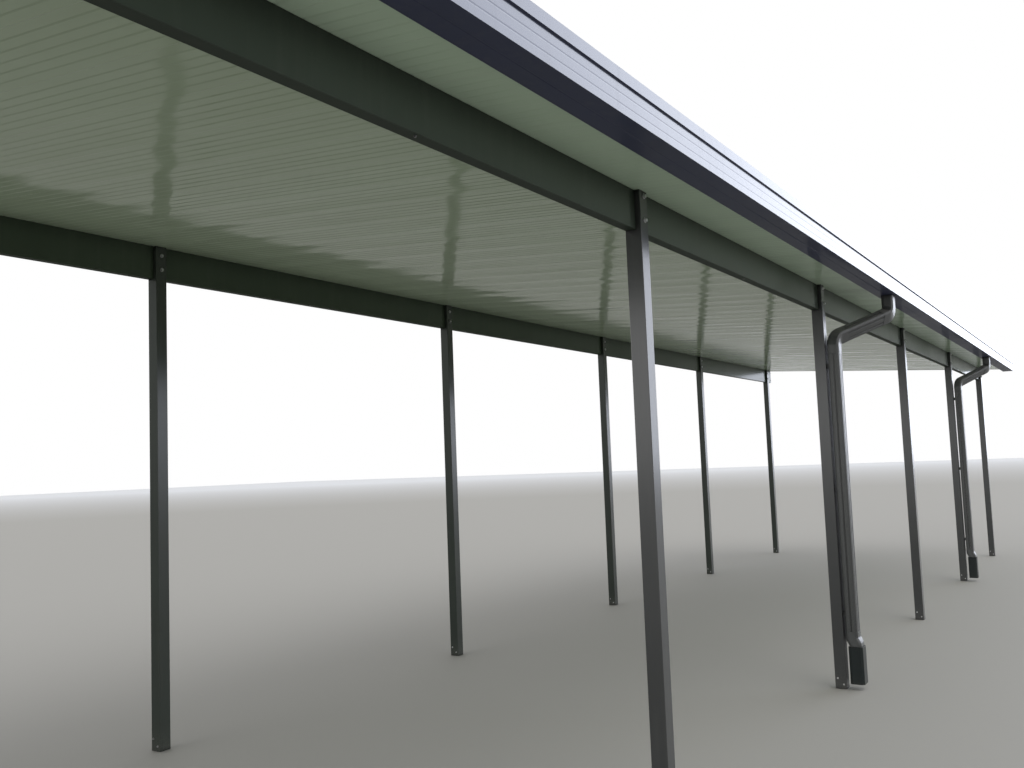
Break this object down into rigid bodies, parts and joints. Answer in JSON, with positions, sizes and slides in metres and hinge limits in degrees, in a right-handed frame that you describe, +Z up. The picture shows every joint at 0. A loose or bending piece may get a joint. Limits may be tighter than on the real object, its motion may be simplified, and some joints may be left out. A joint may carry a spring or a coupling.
{
  "type": "lean-to carport",
  "caption": "Long open lean-to carport: square notched posts, hollow beams, ribbed roof pans falling to a box gutter with downspouts.",
  "frame": {"origin": "centre of the whole carport's plan, on the ground", "axes": "+X along the carport, +Y from the gutter side to the high side, +Z up"},
  "size_m": [15.8646, 3.7898, 3.106],
  "materials": {
    "bronze": "gloss",
    "white_enamel": "gloss",
    "mill_aluminium": "satin"
  },
  "bodies": {
    "root": {"outer_post_1": "bronze", "inner_post_1": "bronze", "outer_post_2": "bronze", "inner_post_2": "bronze", "outer_post_3": "bronze", "inner_post_3": "bronze", "outer_post_4": "bronze", "inner_post_4": "bronze", "outer_post_5": "bronze", "inner_post_5": "bronze", "outer_post_6": "bronze", "inner_post_6": "bronze", "outer_post_shoes": "mill_aluminium", "inner_post_shoes": "mill_aluminium", "outer_beam": "bronze", "inner_beam": "bronze", "outer_beam_caps": "bronze", "inner_beam_caps": "bronze", "roof_pans_1": "white_enamel", "roof_pans_2": "white_enamel", "roof_pans_3": "white_enamel", "roof_pans_4": "white_enamel", "roof_pans_5": "white_enamel", "gutter": "bronze", "gutter_cap_near": "bronze", "gutter_cap_far": "bronze", "gutter_straps": "mill_aluminium", "header_channel": "bronze", "side_channel_near": "bronze", "side_channel_far": "bronze", "downspout_1_outlet": "bronze", "downspout_1_upper_elbow": "bronze", "downspout_1_run": "bronze", "downspout_1_lower_elbow": "bronze", "downspout_1_pipe": "bronze", "downspout_1_kickout": "bronze", "downspout_1_boot": "bronze", "downspout_2_outlet": "bronze", "downspout_2_upper_elbow": "bronze", "downspout_2_run": "bronze", "downspout_2_lower_elbow": "bronze", "downspout_2_pipe": "bronze", "downspout_2_kickout": "bronze", "downspout_2_boot": "bronze", "downspout_clips": "mill_aluminium"}
  },
  "joints": []
}
